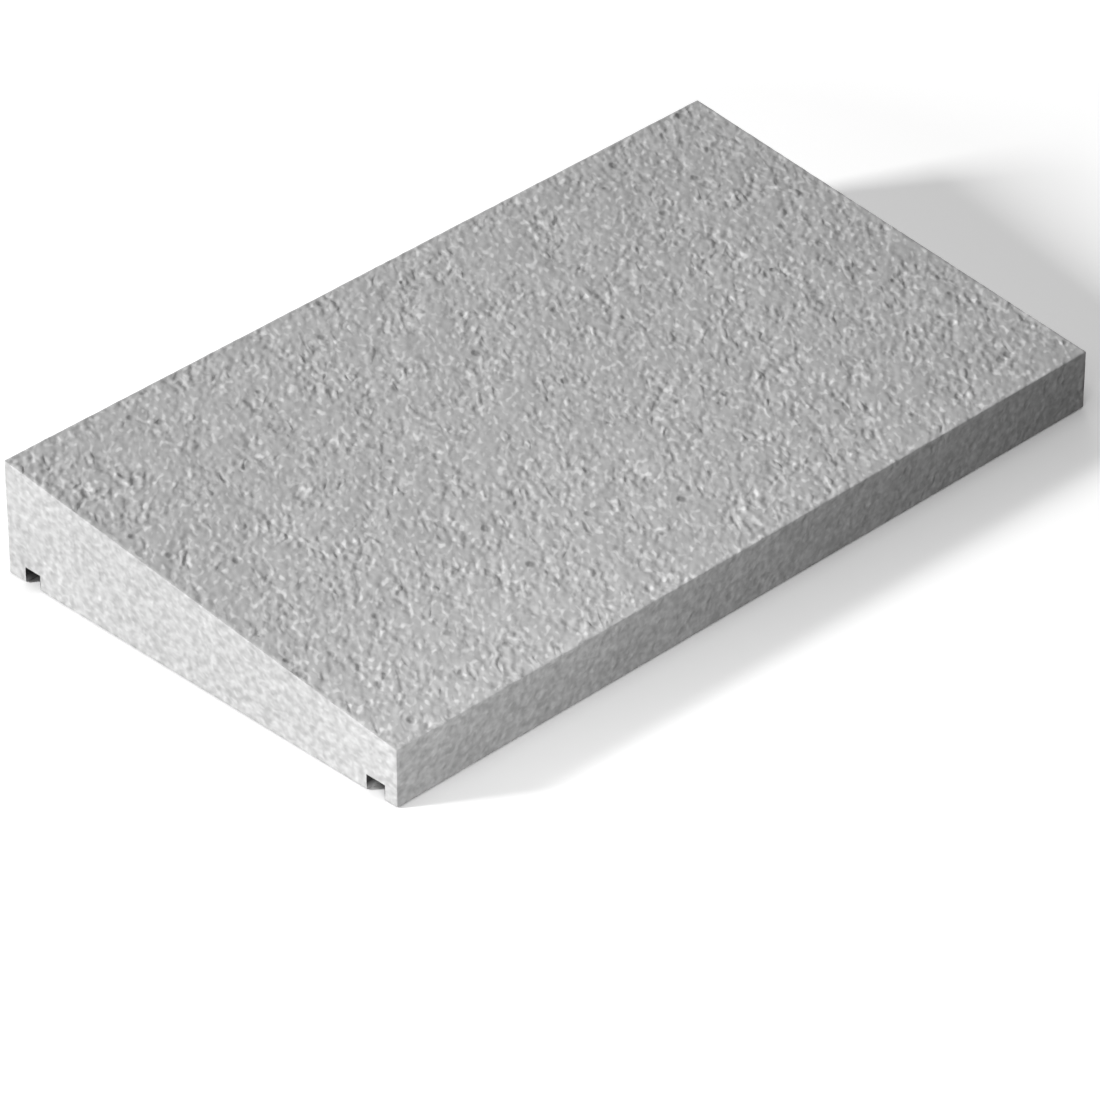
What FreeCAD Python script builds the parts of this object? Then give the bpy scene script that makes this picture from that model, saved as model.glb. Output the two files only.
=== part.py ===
"""Once-weathered coping stone, a capping slab of precast concrete.

The stone is cast in one piece. Its top falls from a high back edge to a low front edge, so rain
runs off to one side. A square drip groove under each long edge makes the water fall clear before
it can creep on along the underside.

Frame: millimetres, +X along the stone, +Y across it towards the high edge, +Z up.
The origin is the middle of the bed, the flat underside that the stone lies on.
"""

import FreeCAD
import Part

import os

Vector = FreeCAD.Vector

# Overall sizes
LENGTH = 600.0
WIDTH = 340.0
BACK_HEIGHT = 82.0
FRONT_HEIGHT = 41.5

# Drip grooves, each behind a lip: the strip of underside between the groove and the outer face
GROOVE_DEPTH = 11.0
FRONT_LIP = 10.5
FRONT_GROOVE_WIDTH = 15.0
BACK_LIP = 15.5
BACK_GROOVE_WIDTH = 13.0

# Edges as the mould leaves them
ARRIS_RADIUS = 1.0
GROOVE_ROOT_RADIUS = 1.0

# How far a cutting solid runs past the faces that it opens
CUT_OVERRUN = 5.0


def weathered_block():
    """The stone before its grooves: the falling section drawn out to its length, arrises eased."""
    front_y = -WIDTH / 2
    back_y = WIDTH / 2
    section_corners = [
        (front_y, 0.0),
        (back_y, 0.0),
        (back_y, BACK_HEIGHT),
        (front_y, FRONT_HEIGHT),
    ]
    outline = [Vector(-LENGTH / 2, y, z) for y, z in section_corners]
    section = Part.Face(Part.makePolygon(outline + outline[:1]))
    block = section.extrude(Vector(LENGTH, 0, 0))
    return block.makeFillet(ARRIS_RADIUS, block.Edges)


def drip_groove(low_y, width):
    """What one groove takes away: a channel right through both ends, its two root corners eased."""
    channel = Part.makeBox(
        LENGTH + 2 * CUT_OVERRUN,
        width,
        GROOVE_DEPTH + CUT_OVERRUN,
        Vector(-LENGTH / 2 - CUT_OVERRUN, low_y, -CUT_OVERRUN),
    )
    root_edges = [
        edge
        for edge in channel.Edges
        if edge.BoundBox.ZMin > 0 and edge.BoundBox.XLength > LENGTH
    ]
    return channel.makeFillet(GROOVE_ROOT_RADIUS, root_edges)


def coping_stone():
    """The whole stone, with its front and back drip grooves cut into the underside."""
    front_groove = drip_groove(-WIDTH / 2 + FRONT_LIP, FRONT_GROOVE_WIDTH)
    back_groove = drip_groove(WIDTH / 2 - BACK_LIP - BACK_GROOVE_WIDTH, BACK_GROOVE_WIDTH)
    return weathered_block().cut([front_groove, back_groove]).Solids[0]


def main():
    stone = coping_stone()
    os.makedirs("parts", exist_ok=True)
    stone.exportStep("parts/coping_stone.step")
    litres = stone.Volume / 1e6
    print(f"coping_stone: valid {stone.isValid()}, {len(stone.Faces)} faces, {litres:.3f} litres")


main()
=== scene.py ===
"""Dresses a once-weathered coping stone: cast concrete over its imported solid, in a plain studio."""

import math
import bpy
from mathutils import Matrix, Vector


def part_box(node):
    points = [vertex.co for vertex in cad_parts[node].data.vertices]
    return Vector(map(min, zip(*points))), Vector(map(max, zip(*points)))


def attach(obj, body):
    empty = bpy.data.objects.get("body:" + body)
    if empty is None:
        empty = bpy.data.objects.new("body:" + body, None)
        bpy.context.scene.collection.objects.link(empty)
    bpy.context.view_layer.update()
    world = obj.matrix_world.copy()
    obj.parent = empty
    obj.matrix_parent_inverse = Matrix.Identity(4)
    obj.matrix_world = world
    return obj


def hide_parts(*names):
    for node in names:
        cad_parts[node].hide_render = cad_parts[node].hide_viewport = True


bl_info = {
    "name": "Coping Stone",
    "version": (1, 0, 0),
    "blender": (4, 5, 0),
    "location": "View3D > Sidebar > Coping",
    "description": "Models a cast concrete coping stone over its packed solid and lights it in a studio",
    "category": "Object",
}

import bmesh
import bpy
from mathutils import Vector, noise

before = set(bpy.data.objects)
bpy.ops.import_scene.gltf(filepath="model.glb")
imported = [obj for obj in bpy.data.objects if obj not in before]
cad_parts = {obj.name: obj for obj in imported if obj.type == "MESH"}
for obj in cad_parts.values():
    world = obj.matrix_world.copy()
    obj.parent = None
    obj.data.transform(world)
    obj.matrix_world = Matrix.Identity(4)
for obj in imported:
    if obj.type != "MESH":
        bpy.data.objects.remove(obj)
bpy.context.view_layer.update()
STONE_NODE = "coping_stone"
STONE_LOW, STONE_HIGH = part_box(STONE_NODE)

MILLIMETRE = 0.001
# Two places closer than this are one place
TOLERANCE = 0.01 * MILLIMETRE
# A face looks along an axis when this share of its normal lies along it
FACING = 0.9
# Two faces that turn by less than the first angle lie flat, those that turn by more than the second meet at
# an arris, and those that turn by less than the third are shaded as one
FLAT_ANGLE = math.radians(5)
ARRIS_ANGLE = math.radians(60)
SMOOTH_ANGLE = math.radians(40)

# Rows of mesh up a face: beside the drip grooves, and from their roots to the top
ROWS_BESIDE_GROOVES = 4
ROWS_ABOVE_GROOVES = 18
# The long faces are cut crosswise in two goes, first into this many bays
BAYS = 16
# Flats that make up an eased edge, and how far in from the edge it reaches, in radii and a little over
EDGE_SEGMENTS = 2
ARRIS_REACH = 1.1

# The mould leaves its faces smoother than the float leaves the top: their share of its relief
MOULDED_SHARE = 0.6
# The finish of the top ends over its arrises: it is whole down to the first depth below the top, and none
# of it is left at the second
FLOATED_DEPTH_MM = 1.5
MOULDED_DEPTH_MM = 3.0

# The way that the float was drawn, from the length of the stone (degrees), and how far it drew out the
# modelled unevenness
FLOAT_TURN = 50
FLOAT_STRETCH = 1.4

# Modelled unevenness, by the size of its pattern in millimetres
WAVE_MM = 30.0
LUMP_MM = 5.0
NIBBLE_MM = 6.0
# The level that the peaks of these patterns reach, where the face stays at the face of the solid
PEAK_LEVEL = 0.8

# What the float left on the wet top, as layers of fine relief: the way that each runs from the length of
# the stone (degrees), its breadth (mm), its length over its breadth, the level of its pattern at which it
# sets in, and its height (mm). A layer without an onset swings both ways
FLOAT_MARKS = {
    "grain": (50, 4.5, 1.4, 0.0, 1.05),
    "fine grain": (35, 3.6, 1.2, 0.0, 0.7),
    "dabs": (50, 7.0, 1.6, 0.66, 0.8),
    "scratches": (62, 6.0, 3.0, 0.69, -0.4),
    "drags": (25, 7.0, 2.6, 0.69, -0.4),
}
# The level at which a mark with an onset is whole
FULL_MARK = 0.9
# The marks sway: the length of a bend and its reach
BEND_MM = 12.0
BEND_REACH_MM = 1.5
# Patches that the float closed more or less: their size, the swing of their pattern that takes them from
# closed to open, and the share of the relief that a closed one keeps. The mesh holds the share by this name
PATCH_MM = 17.0
PATCH_SWING = 0.4
PATCH_LEAST = 0.33
OPENNESS = "openness"
# The rim of the mould kept the faces smooth along the arrises: how far in from the edge the relief is whole
# again, the share of it that is left at the edge, and where the finish of the top sets in
RIM_MM = 3.0
RIM_LEAST = 0.15
RIM_START_MM = 0.5
# Pits, where a bubble broke: the spacing of the places that may have one, and their depth
PIT_MM = 14.0
PIT_DEPTH_MM = 0.6
# Each place draws a number. Past the first of these a pit opens, and at the second it has the radius given
# here, as a share of the spacing. Its side slopes over the last share
PIT_CHANCE = 0.62
BROAD_PIT_CHANCE = 0.8
PIT_RADIUS = 0.3
PIT_SLOPE = 0.22

# Patterns of colour, by their size, and the levels that nearly all of such a pattern lies between
CLOUD_MM = 38.0
MOTTLE_MM = 4.6
LOW_LEVEL = 0.3
HIGH_LEVEL = 0.7
# Share of bloom over the paste: the least and the most that its clouds give, and the swing of the mottle
# about that on the moulded faces and on the floated top
CLOUD_LEAST = 0.42
CLOUD_MOST = 0.62
MOULDED_MOTTLE = 0.85
FLOATED_MOTTLE = 0.35
# The way that the mottle and the specks run (degrees), and how far they are drawn out
COLOUR_TURN = 50
COLOUR_STRETCH = 1.7
# Specks, drawn at twice their real size or they wouldn't show: the size of their pattern, the level of it
# at which they set in, the level at which they are whole, and how much they then cover the paste
SPECKS = {
    "sand": (4.0, 0.6, 0.8, 0.2),
    "lime": (3.2, 0.58, 0.78, 0.6),
}
# Each kind has a stretch of the pattern to itself, this far from the last
SPECKS_APART = (1, 1, 1)
# The skin that the mould gives hides most of them: the share that shows through it
SKIN_SPECKS = 0.35
# How far painted shade darkens the bottom of a pit, how far painted shade and some dirt darken the root of
# a groove, and how near a groove's sides that darkening lies
PIT_SHADE = 0.35
GROOVE_DIRT_AND_SHADE = 0.97
GROOVE_SKIN_MM = 0.3
# Dry cement paste is matt, and its bloom still more so
CONCRETE_IOR = 1.5
PASTE_ROUGHNESS = 0.86
BLOOM_ROUGHNESS = 0.98

# Lamps: the place of each, the point that it faces, and its size
LAMPS = {
    "key": ((-3.667, 2.358, 1.870), (-0.3, 0.0, 0.04), 0.9),
    "front": ((-0.456, -0.508, 0.184), (0.6, -0.5, 0.03), 0.3),
    "overhead": ((0.04, -0.17, 0.9), (0.04, -0.17, 0.0), 0.5),
    "fill": ((1.3, 1.1, 0.3), (0.1, 0.1, 0.04), 0.5),
}
WHITE = "#FFFFFF"
AIR_STRENGTH = 0.08
FLOOR_SIZE = 40.0
FLOOR_GAP = 0.5 * MILLIMETRE
# The floor's colour to the eye, and the darker one that it throws back on the stone
FLOOR_COLOUR = "#F4F4F4"
BOUNCE_COLOUR = "#8A8A8A"
# White that the eye sees on the floor besides what the lamps give it, so that only the shadow is darker
FLOOR_GLOW = 0.3
# From the first distance from the stone's middle the lamps reach the floor less and less, and from the
# second on it is all white
LIT_REACH = 0.5
WHITE_REACH = 1.5
# How near the stone has to be to hold that white back, which paints shade on the floor beside the stone and
# under its bed and grooves
CONTACT_SHADE_MM = 60.0
SENSOR_MM = 36.0

# Sockets of a node that mixes two colours
MIX_SHARE = 0
MIX_UNDER = 6
MIX_OVER = 7
MIX_RESULT = 2


def linear(hex_colour):
    """The linear colour, with alpha, of an sRGB hex value."""
    channels = [int(hex_colour[i : i + 2], 16) / 255 for i in (1, 3, 5)]
    return [c / 12.92 if c <= 0.04045 else ((c + 0.055) / 1.055) ** 2.4 for c in channels] + [1.0]


class StoneShape(bpy.types.PropertyGroup):
    """Sizes of the stone, the same as those of its solid."""

    length: bpy.props.FloatProperty(
        name="Length",
        description="Size from end to end",
        default=STONE_HIGH.x - STONE_LOW.x,
        unit="LENGTH",
    )
    width: bpy.props.FloatProperty(
        name="Width",
        description="Size from front to back",
        default=STONE_HIGH.y - STONE_LOW.y,
        unit="LENGTH",
    )
    back_height: bpy.props.FloatProperty(
        name="Back height",
        description="Height of the high edge before its arris is eased",
        default=0.082,
        unit="LENGTH",
    )
    front_height: bpy.props.FloatProperty(
        name="Front height",
        description="Height of the low edge before its arris is eased",
        default=0.0415,
        unit="LENGTH",
    )
    groove_depth: bpy.props.FloatProperty(
        name="Groove depth",
        description="Depth of both drip grooves",
        default=0.011,
        unit="LENGTH",
    )
    front_lip: bpy.props.FloatProperty(
        name="Front lip",
        description="Underside between the front groove and the front face",
        default=0.0105,
        unit="LENGTH",
    )
    front_groove: bpy.props.FloatProperty(
        name="Front groove",
        description="Width of the front drip groove",
        default=0.015,
        unit="LENGTH",
    )
    back_lip: bpy.props.FloatProperty(
        name="Back lip",
        description="Underside between the back groove and the back face",
        default=0.0155,
        unit="LENGTH",
    )
    back_groove: bpy.props.FloatProperty(
        name="Back groove",
        description="Width of the back drip groove",
        default=0.013,
        unit="LENGTH",
    )
    arris: bpy.props.FloatProperty(
        name="Arris",
        description="Radius of the eased outer edges",
        default=0.001,
        unit="LENGTH",
    )
    root: bpy.props.FloatProperty(
        name="Groove root",
        description="Radius of the two inner corners of each groove",
        default=0.001,
        unit="LENGTH",
    )
    cell: bpy.props.FloatProperty(
        name="Cell",
        description="Spacing of the mesh that carries the relief of the faces",
        default=0.00175,
        unit="LENGTH",
    )


class ConcreteFinish(bpy.types.PropertyGroup):
    """Colours of the concrete and depths of its relief."""

    paste: bpy.props.FloatVectorProperty(
        name="Paste",
        description="Cement paste",
        subtype="COLOR",
        size=4,
        default=linear("#A8A8A8"),
    )
    bloom: bpy.props.FloatVectorProperty(
        name="Bloom",
        description="Pale lime bloom",
        subtype="COLOR",
        size=4,
        default=linear("#CACACA"),
    )
    lime: bpy.props.FloatVectorProperty(
        name="Lime",
        description="White specks of lime",
        subtype="COLOR",
        size=4,
        default=linear("#F0F0F0"),
    )
    sand: bpy.props.FloatVectorProperty(
        name="Sand",
        description="Dark sand grains",
        subtype="COLOR",
        size=4,
        default=linear("#8C8C8C"),
    )
    # Painted shade: a dark colour laid into the bottoms of the pits, and into the grooves, where some dirt
    # lies too
    dirt_and_shade: bpy.props.FloatVectorProperty(
        name="Dirt",
        description="Dirt in the pits and grooves",
        subtype="COLOR",
        size=4,
        default=linear("#2C2C2C"),
    )
    wave_depth: bpy.props.FloatProperty(
        name="Wave depth",
        description="Depth of the broad unevenness",
        default=0.0005,
        unit="LENGTH",
    )
    lump_depth: bpy.props.FloatProperty(
        name="Lump depth",
        description="Depth of the lumps",
        default=0.0018,
        unit="LENGTH",
    )
    nibble_depth: bpy.props.FloatProperty(
        name="Nibble depth",
        description="How far the arrises are nibbled",
        default=0.0004,
        unit="LENGTH",
    )


class Studio(bpy.types.PropertyGroup):
    """Camera and lamps."""

    azimuth: bpy.props.FloatProperty(
        name="Azimuth",
        description="Way round the stone that the camera stands, from straight in front",
        default=math.radians(-44.95),
        subtype="ANGLE",
    )
    elevation: bpy.props.FloatProperty(
        name="Elevation",
        description="Height of the camera above the horizon",
        default=math.radians(34.46),
        subtype="ANGLE",
    )
    distance: bpy.props.FloatProperty(
        name="Distance",
        description="From the camera to its target",
        default=4.2309,
        unit="LENGTH",
    )
    target: bpy.props.FloatVectorProperty(
        name="Target",
        description="Point at the centre of the picture",
        default=(-0.02797, -0.02254, -0.02204),
        subtype="TRANSLATION",
        unit="LENGTH",
    )
    lens: bpy.props.FloatProperty(
        name="Lens",
        description="Focal length in millimetres",
        default=224.67,
        unit="CAMERA",
    )
    key_power: bpy.props.FloatProperty(
        name="Key",
        description="Lamp at the back left",
        default=305.0,
        unit="POWER",
    )
    front_power: bpy.props.FloatProperty(
        name="Front",
        description="Small lamp by the near corner",
        default=2.1,
        unit="POWER",
    )
    overhead_power: bpy.props.FloatProperty(
        name="Overhead",
        description="Lamp over the stone",
        default=1.7,
        unit="POWER",
    )
    fill_power: bpy.props.FloatProperty(
        name="Fill",
        description="Lamp at the back right",
        default=8.0,
        unit="POWER",
    )


def add_node(tree, kind, inputs=None, out=0, **settings):
    """Add a node with its settings, set or link its inputs, and give back one of its outputs."""
    node = tree.nodes.new(kind)
    for name, value in settings.items():
        setattr(node, name, value)
    for socket, value in (inputs or {}).items():
        if isinstance(value, bpy.types.NodeSocket):
            tree.links.new(value, node.inputs[socket])
        else:
            node.inputs[socket].default_value = value
    return node.outputs[out] if len(node.outputs) else None


def pick(stone, kind, wanted):
    """Select in edit mode the vertices, edges or faces that pass a test, and nothing else."""
    bpy.ops.mesh.select_mode(type=kind)
    bpy.ops.mesh.select_all(action="DESELECT")
    shell = bmesh.from_edit_mesh(stone.data)
    elements = {"VERT": shell.verts, "EDGE": shell.edges, "FACE": shell.faces}[kind]
    for element in elements:
        if wanted(element):
            element.select_set(True)
    bmesh.update_edit_mesh(stone.data)


def middle(edge):
    """The point half-way along an edge."""
    return (edge.verts[0].co + edge.verts[1].co) / 2


def span(edge):
    """The way from one end of an edge to the other."""
    return edge.verts[1].co - edge.verts[0].co


def groove_sides(shape):
    """The y of the two sides of the front groove and the two of the back groove."""
    front = -shape.width / 2 + shape.front_lip
    back = shape.width / 2 - shape.back_lip
    return [front, front + shape.front_groove, back - shape.back_groove, back]


def top_plane(shape):
    """How much the top rises for each metre across the stone, and its height at the middle."""
    fall = (shape.back_height - shape.front_height) / shape.width
    crown = (shape.back_height + shape.front_height) / 2
    return fall, crown


def draw_section(shape):
    """The left end of the stone as a flat grid in its place, with the fall of the top and both grooves."""
    end_x = -shape.length / 2
    # A square of one metre that stands on the bed, brought to size from there
    bpy.ops.mesh.primitive_plane_add(size=1, location=(end_x, 0, 1 / 2), rotation=(0, -math.pi / 2, 0))
    stone = bpy.context.object
    bpy.ops.object.transform_apply(location=True, rotation=True, scale=True)
    bpy.ops.object.mode_set(mode="EDIT")
    bpy.ops.transform.resize(
        value=(1, shape.width, shape.back_height), center_override=(end_x, 0, 0)
    )

    pick(stone, "VERT", lambda v: v.co.y < 0 and v.co.z > shape.front_height)
    bpy.ops.transform.translate(value=(0, 0, shape.front_height - shape.back_height))

    sides = groove_sides(shape)
    for y in sides + [0.0]:
        bpy.ops.mesh.select_all(action="SELECT")
        bpy.ops.mesh.bisect(plane_co=(end_x, y, 0), plane_no=(0, 1, 0))
    bpy.ops.mesh.select_all(action="SELECT")
    bpy.ops.mesh.bisect(plane_co=(end_x, 0, shape.groove_depth), plane_no=(0, 0, 1))

    def in_groove(face):
        centre = face.calc_center_median()
        between = sides[0] < centre.y < sides[1] or sides[2] < centre.y < sides[3]
        return between and centre.z < shape.groove_depth

    pick(stone, "FACE", in_groove)
    bpy.ops.mesh.delete(type="FACE")

    strips = sorted(sides + [0.0, -shape.width / 2, shape.width / 2])
    for low, high in zip(strips, strips[1:]):
        cuts = max(round((high - low) / shape.cell), 1) - 1
        pick(stone, "EDGE", lambda e: abs(span(e).y) > TOLERANCE and low < middle(e).y < high)
        bpy.ops.mesh.subdivide(number_cuts=cuts)
    for below, rows in ((True, ROWS_BESIDE_GROOVES), (False, ROWS_ABOVE_GROOVES)):
        pick(
            stone,
            "EDGE",
            lambda e: abs(span(e).y) < TOLERANCE and (middle(e).z < shape.groove_depth) == below,
        )
        bpy.ops.mesh.subdivide(number_cuts=rows - 1)
    return stone


def draw_out(stone, shape):
    """Pull the section out to its length, and leave the bed and the grooves' insides as plain faces."""
    bpy.ops.mesh.select_mode(type="FACE")
    bpy.ops.mesh.select_all(action="SELECT")
    bpy.ops.mesh.extrude_region_move(TRANSFORM_OT_translate={"value": (shape.length, 0, 0)})
    bpy.ops.mesh.select_all(action="SELECT")
    bpy.ops.mesh.normals_make_consistent(inside=False)

    def under(face):
        centre = face.calc_center_median()
        inside = abs(centre.y) < shape.width / 2 - TOLERANCE
        return abs(face.normal.x) < FACING and inside and centre.z < shape.groove_depth + TOLERANCE

    pick(stone, "FACE", under)
    bpy.ops.mesh.dissolve_limited(angle_limit=FLAT_ANGLE)


def ease_edges(stone, shape):
    """Round the roots of the grooves and the outer edges as the mould does."""
    sides = groove_sides(shape)

    def root(edge):
        place = middle(edge)
        on_side = any(abs(place.y - side) < TOLERANCE for side in sides)
        on_root = abs(place.z - shape.groove_depth) < TOLERANCE
        return on_side and on_root and abs(span(edge).x) > shape.length / 2

    pick(stone, "EDGE", root)
    bpy.ops.mesh.bevel(offset=shape.root, offset_type="OFFSET", segments=EDGE_SEGMENTS)

    def outer(face):
        """Faces of the block, leaving out those inside the grooves."""
        if abs(face.normal.x) > FACING:
            return True
        centre = face.calc_center_median()
        if abs(face.normal.y) > FACING:
            return abs(abs(centre.y) - shape.width / 2) < TOLERANCE
        return face.normal.z > 0 or abs(centre.z) < TOLERANCE

    def arris(edge):
        if len(edge.link_faces) != 2:
            return False
        one, other = edge.link_faces
        return one.normal.angle(other.normal) > ARRIS_ANGLE and outer(one) and outer(other)

    pick(stone, "EDGE", arris)
    bpy.ops.mesh.bevel(offset=shape.arris, offset_type="OFFSET", segments=EDGE_SEGMENTS)


def cross_cut(stone, shape):
    """Cut the long faces crosswise to the spacing of the section."""
    half_length = shape.length / 2
    bay = shape.length / BAYS
    pick(stone, "EDGE", lambda e: abs(span(e).x) > half_length)
    bpy.ops.mesh.subdivide(number_cuts=BAYS - 1)
    pick(stone, "EDGE", lambda e: bay / 2 < abs(span(e).x) < half_length)
    bpy.ops.mesh.subdivide(number_cuts=round(bay / shape.cell) - 1)


def weather(stone, shape, finish):
    """Sink the faces and the arrises by small amounts, so that they are as uneven as cast concrete."""
    fall, crown = top_plane(shape)
    sides = groove_sides(shape)
    reach = shape.arris * ARRIS_REACH
    faces = stone.vertex_groups.new(name="faces")
    arrises = stone.vertex_groups.new(name="arrises")
    openness = []
    for vertex in stone.data.vertices:
        closing = noise.noise(vertex.co / (PATCH_MM * MILLIMETRE)) / PATCH_SWING
        relief = PATCH_LEAST + (1 - PATCH_LEAST) * min(max((1 + closing) / 2, 0.0), 1.0)
        openness.append(relief)
        x, y, z = vertex.co
        across = any(low - TOLERANCE < y < high + TOLERANCE for low, high in (sides[:2], sides[2:]))
        # The bed and the insides of the grooves stay plain
        if z < reach or (across and z < shape.groove_depth + TOLERANCE):
            continue
        below_top = crown + fall * y - z
        # The nearest face is the vertex's own, and the next one meets it at the nearest arris
        to_arris = sorted((shape.length / 2 - abs(x), shape.width / 2 - abs(y), below_top, z))[1]
        if to_arris < reach:
            arrises.add([vertex.index], 1.0, "REPLACE")
        relief *= min(max(to_arris / (RIM_MM * MILLIMETRE), RIM_LEAST), 1.0)
        faces.add([vertex.index], relief if below_top < reach else relief * MOULDED_SHARE, "REPLACE")
    stone.data.attributes.new(OPENNESS, "FLOAT", "POINT").data.foreach_set("value", openness)

    # The patterns lie in the space of a helper, turned and stretched the way that the float was drawn
    bpy.ops.object.empty_add(rotation=(0, 0, math.radians(FLOAT_TURN)))
    float_way = bpy.context.object
    float_way.scale = (FLOAT_STRETCH, 1, 1)
    bpy.ops.object.select_all(action="DESELECT")
    stone.select_set(True)
    bpy.context.view_layer.objects.active = stone

    reliefs = (
        ("waves", "faces", WAVE_MM, finish.wave_depth),
        ("lumps", "faces", LUMP_MM, finish.lump_depth),
        ("nibbles", "arrises", NIBBLE_MM, finish.nibble_depth),
    )
    for name, group, size, depth in reliefs:
        texture = bpy.data.textures.new(name, type="CLOUDS")
        texture.noise_scale = size * MILLIMETRE
        texture.noise_depth = 1
        texture.noise_basis = "IMPROVED_PERLIN"
        bpy.ops.object.modifier_add(type="DISPLACE")
        modifier = stone.modifiers[-1]
        modifier.name = name
        modifier.texture = texture
        modifier.texture_coords = "OBJECT"
        modifier.texture_coords_object = float_way
        modifier.direction = "NORMAL"
        modifier.mid_level = PEAK_LEVEL
        modifier.strength = depth
        modifier.vertex_group = group
        bpy.ops.object.modifier_apply(modifier=name)
    bpy.data.objects.remove(float_way)


def floated_share(tree, place, shape):
    """A factor of 1 on the floated top, and 0 on the faces and arrises that the mould made."""
    fall, crown = top_plane(shape)
    rise = add_node(
        tree,
        "ShaderNodeVectorMath",
        {0: place, 1: (0, -fall, 1)},
        out="Value",
        operation="DOT_PRODUCT",
    )
    share = add_node(
        tree,
        "ShaderNodeMapRange",
        {
            "Value": rise,
            "From Min": crown - MOULDED_DEPTH_MM * MILLIMETRE,
            "From Max": crown - FLOATED_DEPTH_MM * MILLIMETRE,
        },
    )
    outward = add_node(tree, "ShaderNodeVectorMath", {0: place}, operation="ABSOLUTE")
    for axis, half in (("X", shape.length / 2), ("Y", shape.width / 2)):
        reach = add_node(tree, "ShaderNodeSeparateXYZ", {0: outward}, out=axis)
        inside = add_node(
            tree,
            "ShaderNodeMapRange",
            {
                "Value": reach,
                "From Min": half - RIM_START_MM * MILLIMETRE,
                "From Max": half - RIM_MM * MILLIMETRE,
            },
        )
        share = add_node(tree, "ShaderNodeMath", {0: share, 1: inside}, operation="MINIMUM")
    return share


def groove_dirt_and_shade(tree, place, shape):
    """A factor of painted shade, with some dirt, that grows from nothing at the mouth of a drip groove to
    most of 1 half-way up it.
    """
    across = add_node(tree, "ShaderNodeSeparateXYZ", {0: place}, out="Y")
    rise = add_node(tree, "ShaderNodeSeparateXYZ", {0: place}, out="Z")
    sides = groove_sides(shape)
    skin = GROOVE_SKIN_MM * MILLIMETRE
    lining = 0.0
    for low, high in (sides[:2], sides[2:]):
        between = add_node(
            tree,
            "ShaderNodeMath",
            {0: across, 1: (low + high) / 2, 2: (high - low) / 2 + skin},
            operation="COMPARE",
        )
        lining = add_node(tree, "ShaderNodeMath", {0: lining, 1: between}, operation="MAXIMUM")
    under = add_node(
        tree,
        "ShaderNodeMath",
        {0: rise, 1: shape.groove_depth + skin},
        operation="LESS_THAN",
    )
    lining = add_node(tree, "ShaderNodeMath", {0: lining, 1: under}, operation="MULTIPLY")
    growth = add_node(
        tree,
        "ShaderNodeMapRange",
        {"Value": rise, "From Max": shape.groove_depth / 2, "To Max": GROOVE_DIRT_AND_SHADE},
    )
    return add_node(tree, "ShaderNodeMath", {0: lining, 1: growth}, operation="MULTIPLY")


def along_float(tree, place, turn, stretch):
    """Coordinates turned to the way that the float was drawn, and stretched along it. They are shifted too,
    by amounts that differ from layer to layer, so that no two layers show the same part of a pattern."""
    turned = add_node(
        tree,
        "ShaderNodeMapping",
        {"Vector": place, "Location": (turn, stretch, 0), "Rotation": (0, 0, -math.radians(turn))},
    )
    return add_node(
        tree, "ShaderNodeVectorMath", {0: turned, 1: (1 / stretch, 1, 1)}, operation="MULTIPLY"
    )


def float_relief(tree, swayed):
    """Height in millimetres of what the float left: layers of short marks, flatter in some patches."""
    # A pattern without an onset lies half above the plain face and half below it
    relief = -sum(height for *_, onset, height in FLOAT_MARKS.values() if not onset) / 2
    for turn, breadth, stretch, onset, height in FLOAT_MARKS.values():
        drawn = along_float(tree, swayed, turn, stretch)
        pattern = add_node(
            tree,
            "ShaderNodeTexNoise",
            {"Vector": drawn, "Scale": 1 / (breadth * MILLIMETRE), "Detail": 0.0},
            out="Fac",
        )
        if onset:
            pattern = add_node(
                tree,
                "ShaderNodeMapRange",
                {"Value": pattern, "From Min": onset, "From Max": FULL_MARK},
                interpolation_type="SMOOTHSTEP",
            )
        relief = add_node(
            tree, "ShaderNodeMath", {0: pattern, 1: height, 2: relief}, operation="MULTIPLY_ADD"
        )

    openness = add_node(tree, "ShaderNodeAttribute", out="Fac", attribute_name=OPENNESS)
    return add_node(tree, "ShaderNodeMath", {0: relief, 1: openness}, operation="MULTIPLY")


def broken_bubbles(tree, swayed):
    """A factor of 1 at the bottom of a pit and 0 away from the pits, which are few and of many sizes."""
    bubbles = {"Vector": swayed, "Scale": 1 / (PIT_MM * MILLIMETRE)}
    distance = add_node(tree, "ShaderNodeTexVoronoi", bubbles, out="Distance")
    chance = add_node(tree, "ShaderNodeTexVoronoi", bubbles, out="Color")
    radius = add_node(
        tree,
        "ShaderNodeMapRange",
        {"Value": chance, "From Min": PIT_CHANCE, "From Max": BROAD_PIT_CHANCE, "To Max": PIT_RADIUS},
    )
    inside = add_node(tree, "ShaderNodeMath", {0: radius, 1: distance}, operation="SUBTRACT")
    return add_node(
        tree,
        "ShaderNodeMapRange",
        {"Value": inside, "From Max": PIT_SLOPE},
        interpolation_type="SMOOTHSTEP",
    )


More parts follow.
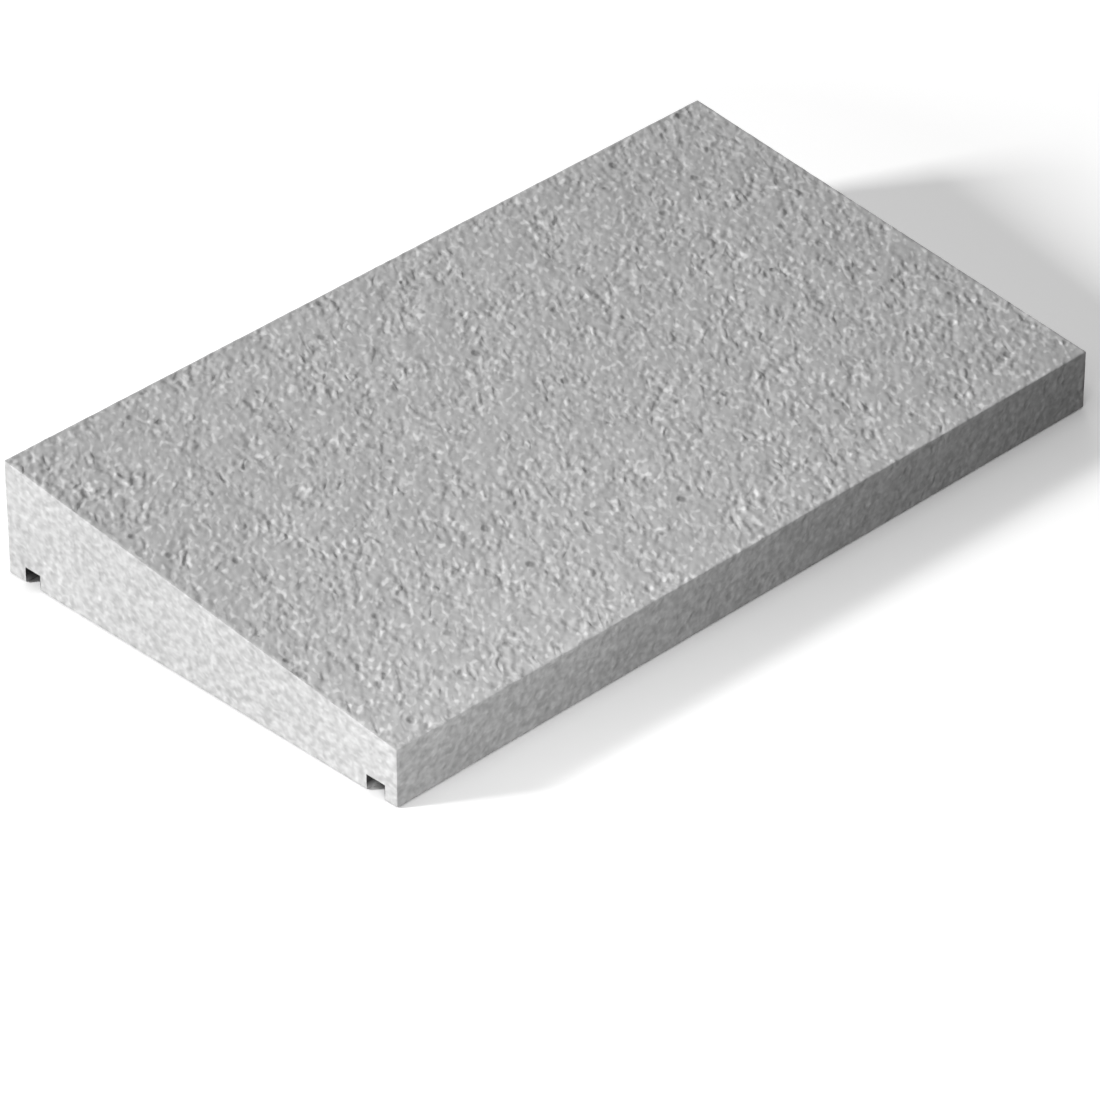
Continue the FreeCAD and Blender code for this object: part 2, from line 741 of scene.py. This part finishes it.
def bloom_share(tree, place, drawn, floated):
    """How much pale bloom covers the paste: broad clouds and a mottle of a few millimetres."""
    clouds = add_node(
        tree,
        "ShaderNodeTexNoise",
        {"Vector": place, "Scale": 1 / (CLOUD_MM * MILLIMETRE), "Detail": 2.0},
        out="Fac",
    )
    clouds = add_node(
        tree,
        "ShaderNodeMapRange",
        {
            "Value": clouds,
            "From Min": LOW_LEVEL,
            "From Max": HIGH_LEVEL,
            "To Min": CLOUD_LEAST,
            "To Max": CLOUD_MOST,
        },
    )
    mottle = add_node(
        tree,
        "ShaderNodeTexNoise",
        {"Vector": drawn, "Scale": 1 / (MOTTLE_MM * MILLIMETRE), "Detail": 1.0},
        out="Fac",
    )
    mottle = add_node(
        tree,
        "ShaderNodeMapRange",
        {
            "Value": mottle,
            "From Min": LOW_LEVEL,
            "From Max": HIGH_LEVEL,
            "To Min": -1 / 2,
            "To Max": 1 / 2,
        },
    )
    swing = add_node(
        tree,
        "ShaderNodeMapRange",
        {"Value": floated, "To Min": MOULDED_MOTTLE, "To Max": FLOATED_MOTTLE},
    )
    return add_node(tree, "ShaderNodeMath", {0: mottle, 1: swing, 2: clouds}, operation="MULTIPLY_ADD")


def cast_concrete(finish, shape):
    """Cast concrete: a matt grey paste full of sand. Its top was floated while it was wet, which leaves
    short dabs and pits, and its other faces have the smoother skin that the mould gives."""
    material = bpy.data.materials.new("cast_concrete")
    material.use_nodes = True
    tree = material.node_tree
    tree.nodes.clear()
    place = add_node(tree, "ShaderNodeTexCoord", out="Object")
    bends = add_node(
        tree,
        "ShaderNodeTexNoise",
        {"Vector": place, "Scale": 1 / (BEND_MM * MILLIMETRE), "Detail": 0.0},
        out="Color",
    )
    swayed = add_node(
        tree,
        "ShaderNodeVectorMath",
        {0: bends, 1: [BEND_REACH_MM * MILLIMETRE] * 3, 2: place},
        operation="MULTIPLY_ADD",
    )

    relief = float_relief(tree, swayed)
    pits = broken_bubbles(tree, swayed)
    relief = add_node(
        tree, "ShaderNodeMath", {0: pits, 1: -PIT_DEPTH_MM, 2: relief}, operation="MULTIPLY_ADD"
    )
    floated = floated_share(tree, place, shape)
    share = add_node(tree, "ShaderNodeMapRange", {"Value": floated, "To Min": MOULDED_SHARE})
    relief = add_node(tree, "ShaderNodeMath", {0: relief, 1: share}, operation="MULTIPLY")
    bumps = add_node(
        tree, "ShaderNodeBump", {"Strength": 1.0, "Distance": MILLIMETRE, "Height": relief}
    )

    drawn = along_float(tree, swayed, COLOUR_TURN, COLOUR_STRETCH)
    pale = bloom_share(tree, place, drawn, floated)
    shown = add_node(tree, "ShaderNodeMapRange", {"Value": floated, "To Min": SKIN_SPECKS})
    colour = add_node(
        tree,
        "ShaderNodeMix",
        {MIX_SHARE: pale, MIX_UNDER: finish.paste, MIX_OVER: finish.bloom},
        out=MIX_RESULT,
        data_type="RGBA",
    )
    for name, (size, onset, whole, cover) in SPECKS.items():
        drawn = add_node(tree, "ShaderNodeVectorMath", {0: drawn, 1: SPECKS_APART}, operation="ADD")
        grit = add_node(
            tree,
            "ShaderNodeTexNoise",
            {"Vector": drawn, "Scale": 1 / (size * MILLIMETRE), "Detail": 0.0},
            out="Fac",
        )
        specks = add_node(
            tree,
            "ShaderNodeMapRange",
            {"Value": grit, "From Min": onset, "From Max": whole, "To Max": cover},
        )
        specks = add_node(tree, "ShaderNodeMath", {0: specks, 1: shown}, operation="MULTIPLY")
        colour = add_node(
            tree,
            "ShaderNodeMix",
            {MIX_SHARE: specks, MIX_UNDER: colour, MIX_OVER: getattr(finish, name)},
            out=MIX_RESULT,
            data_type="RGBA",
        )
    # Painted shade: the bottoms of the pits on the top and the grooves towards their roots are darkened,
    # the grooves with some dirt as well
    shaded_pits = add_node(tree, "ShaderNodeMath", {0: pits, 1: floated}, operation="MULTIPLY")
    dirt_and_shade = add_node(tree, "ShaderNodeMath", {0: shaded_pits, 1: PIT_SHADE}, operation="MULTIPLY")
    dirt_and_shade = add_node(
        tree, "ShaderNodeMath", {0: dirt_and_shade, 1: groove_dirt_and_shade(tree, place, shape)}, operation="MAXIMUM"
    )
    colour = add_node(
        tree,
        "ShaderNodeMix",
        {MIX_SHARE: dirt_and_shade, MIX_UNDER: colour, MIX_OVER: finish.dirt_and_shade},
        out=MIX_RESULT,
        data_type="RGBA",
    )

    roughness = add_node(
        tree,
        "ShaderNodeMapRange",
        {"Value": pale, "To Min": PASTE_ROUGHNESS, "To Max": BLOOM_ROUGHNESS},
    )
    surface = add_node(
        tree,
        "ShaderNodeBsdfPrincipled",
        {"Base Color": colour, "Roughness": roughness, "IOR": CONCRETE_IOR, "Normal": bumps},
    )
    add_node(tree, "ShaderNodeOutputMaterial", {"Surface": surface})
    return material


class COPING_OT_cast_stone(bpy.types.Operator):
    """Model the stone, ease and weather it, and give it its concrete"""

    bl_idname = "coping.cast_stone"
    bl_label = "Cast stone"

    def execute(self, context):
        shape = context.scene.stone_shape
        finish = context.scene.concrete_finish
        bpy.ops.object.select_all(action="DESELECT")
        stone = draw_section(shape)
        draw_out(stone, shape)
        ease_edges(stone, shape)
        cross_cut(stone, shape)
        bpy.ops.object.mode_set(mode="OBJECT")
        stone.name = "coping_stone_cast"
        weather(stone, shape, finish)
        bpy.ops.object.shade_smooth_by_angle(angle=SMOOTH_ANGLE)
        stone.data.materials.append(cast_concrete(finish, shape))
        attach(stone, "root")
        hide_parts(STONE_NODE)
        return {"FINISHED"}


def add_lamp(name, watts):
    """A square soft lamp that faces a point and isn't seen itself."""
    place, target, size = LAMPS[name]
    bpy.ops.object.light_add(type="AREA", location=place)
    lamp = bpy.context.object
    lamp.name = name
    lamp.rotation_euler = (Vector(place) - Vector(target)).to_track_quat("Z", "Y").to_euler()
    lamp.data.shape = "SQUARE"
    lamp.data.size = size
    lamp.data.energy = watts
    lamp.visible_camera = False


def pale_floor():
    """A pale floor: white to the eye, with the stone's shadow and painted shade close about it, and darker
    in the light it throws back.
    """
    material = bpy.data.materials.new("pale_floor")
    material.use_nodes = True
    tree = material.node_tree
    tree.nodes.clear()
    seen = add_node(tree, "ShaderNodeLightPath", out="Is Camera Ray")
    for way in ("Is Glossy Ray", "Is Transmission Ray"):
        ray = add_node(tree, "ShaderNodeLightPath", out=way)
        seen = add_node(tree, "ShaderNodeMath", {0: seen, 1: ray}, operation="MAXIMUM")
    card = add_node(tree, "ShaderNodeBsdfDiffuse", {"Color": linear(FLOOR_COLOUR)})
    open_sky = add_node(
        tree, "ShaderNodeAmbientOcclusion", {"Distance": CONTACT_SHADE_MM * MILLIMETRE}, out="AO"
    )
    place = add_node(tree, "ShaderNodeTexCoord", out="Object")
    away = add_node(tree, "ShaderNodeVectorMath", {0: place}, out="Value", operation="LENGTH")
    white = add_node(
        tree,
        "ShaderNodeMapRange",
        {"Value": away, "From Min": LIT_REACH, "From Max": WHITE_REACH, "To Min": FLOOR_GLOW},
    )
    # Painted shade: the white is held back where the stone closes in on the floor
    white = add_node(tree, "ShaderNodeMath", {0: white, 1: open_sky}, operation="MULTIPLY")
    glow = add_node(tree, "ShaderNodeEmission", {"Color": linear(WHITE), "Strength": white})
    eye = add_node(tree, "ShaderNodeAddShader", {0: card, 1: glow})
    bounce = add_node(tree, "ShaderNodeBsdfDiffuse", {"Color": linear(BOUNCE_COLOUR)})
    surface = add_node(tree, "ShaderNodeMixShader", {0: seen, 1: bounce, 2: eye})
    add_node(tree, "ShaderNodeOutputMaterial", {"Surface": surface})
    return material


def studio_air(scene):
    """Dim even light from all round, which the camera sees as white."""
    world = bpy.data.worlds.new("studio_air")
    scene.world = world
    world.use_nodes = True
    tree = world.node_tree
    tree.nodes.clear()
    seen = add_node(tree, "ShaderNodeLightPath", out="Is Camera Ray")
    dim = add_node(tree, "ShaderNodeBackground", {"Color": linear(WHITE), "Strength": AIR_STRENGTH})
    white = add_node(tree, "ShaderNodeBackground", {"Color": linear(WHITE), "Strength": 1.0})
    air = add_node(tree, "ShaderNodeMixShader", {0: seen, 1: dim, 2: white})
    add_node(tree, "ShaderNodeOutputWorld", {"Surface": air})


def set_camera(scene, studio):
    """The camera at the photograph's view."""
    back = Vector(
        (
            math.sin(studio.azimuth) * math.cos(studio.elevation),
            -math.cos(studio.azimuth) * math.cos(studio.elevation),
            math.sin(studio.elevation),
        )
    )
    bpy.ops.object.camera_add(location=Vector(studio.target) + back * studio.distance)
    camera = bpy.context.object
    camera.rotation_euler = back.to_track_quat("Z", "Y").to_euler()
    camera.data.sensor_width = SENSOR_MM
    camera.data.lens = studio.lens
    scene.camera = camera


class COPING_OT_set_stage(bpy.types.Operator):
    """Lay the floor, hang the lamps and set the camera at the photograph's view"""

    bl_idname = "coping.set_stage"
    bl_label = "Set stage"

    def execute(self, context):
        studio = context.scene.studio
        bpy.ops.object.select_all(action="DESELECT")
        bpy.ops.mesh.primitive_plane_add(size=FLOOR_SIZE, location=(0, 0, -FLOOR_GAP))
        floor = context.object
        floor.name = "floor"
        floor.data.materials.append(pale_floor())

        for name in LAMPS:
            add_lamp(name, getattr(studio, name + "_power"))
        studio_air(context.scene)
        set_camera(context.scene, studio)
        context.scene.view_settings.view_transform = "Standard"
        return {"FINISHED"}


class COPING_PT_sidebar(bpy.types.Panel):
    """The stone's sizes, its finish and the studio, with a button for each step"""

    bl_idname = "COPING_PT_sidebar"
    bl_label = "Coping stone"
    bl_space_type = "VIEW_3D"
    bl_region_type = "UI"
    bl_category = "Coping"

    def draw(self, context):
        for group in (context.scene.stone_shape, context.scene.concrete_finish, context.scene.studio):
            box = self.layout.box()
            for name in group.bl_rna.properties.keys():
                if name not in {"rna_type", "name"}:
                    box.prop(group, name)
        self.layout.operator(COPING_OT_cast_stone.bl_idname)
        self.layout.operator(COPING_OT_set_stage.bl_idname)


CLASSES = (
    StoneShape,
    ConcreteFinish,
    Studio,
    COPING_OT_cast_stone,
    COPING_OT_set_stage,
    COPING_PT_sidebar,
)


def register():
    for cls in CLASSES:
        bpy.utils.register_class(cls)
    bpy.types.Scene.stone_shape = bpy.props.PointerProperty(type=StoneShape)
    bpy.types.Scene.concrete_finish = bpy.props.PointerProperty(type=ConcreteFinish)
    bpy.types.Scene.studio = bpy.props.PointerProperty(type=Studio)


def unregister():
    del bpy.types.Scene.studio
    del bpy.types.Scene.concrete_finish
    del bpy.types.Scene.stone_shape
    for cls in reversed(CLASSES):
        bpy.utils.unregister_class(cls)


def main():
    """Build the stone and its stage."""
    register()
    bpy.ops.coping.cast_stone()
    bpy.ops.coping.set_stage()


if __name__ == "__main__":
    main()
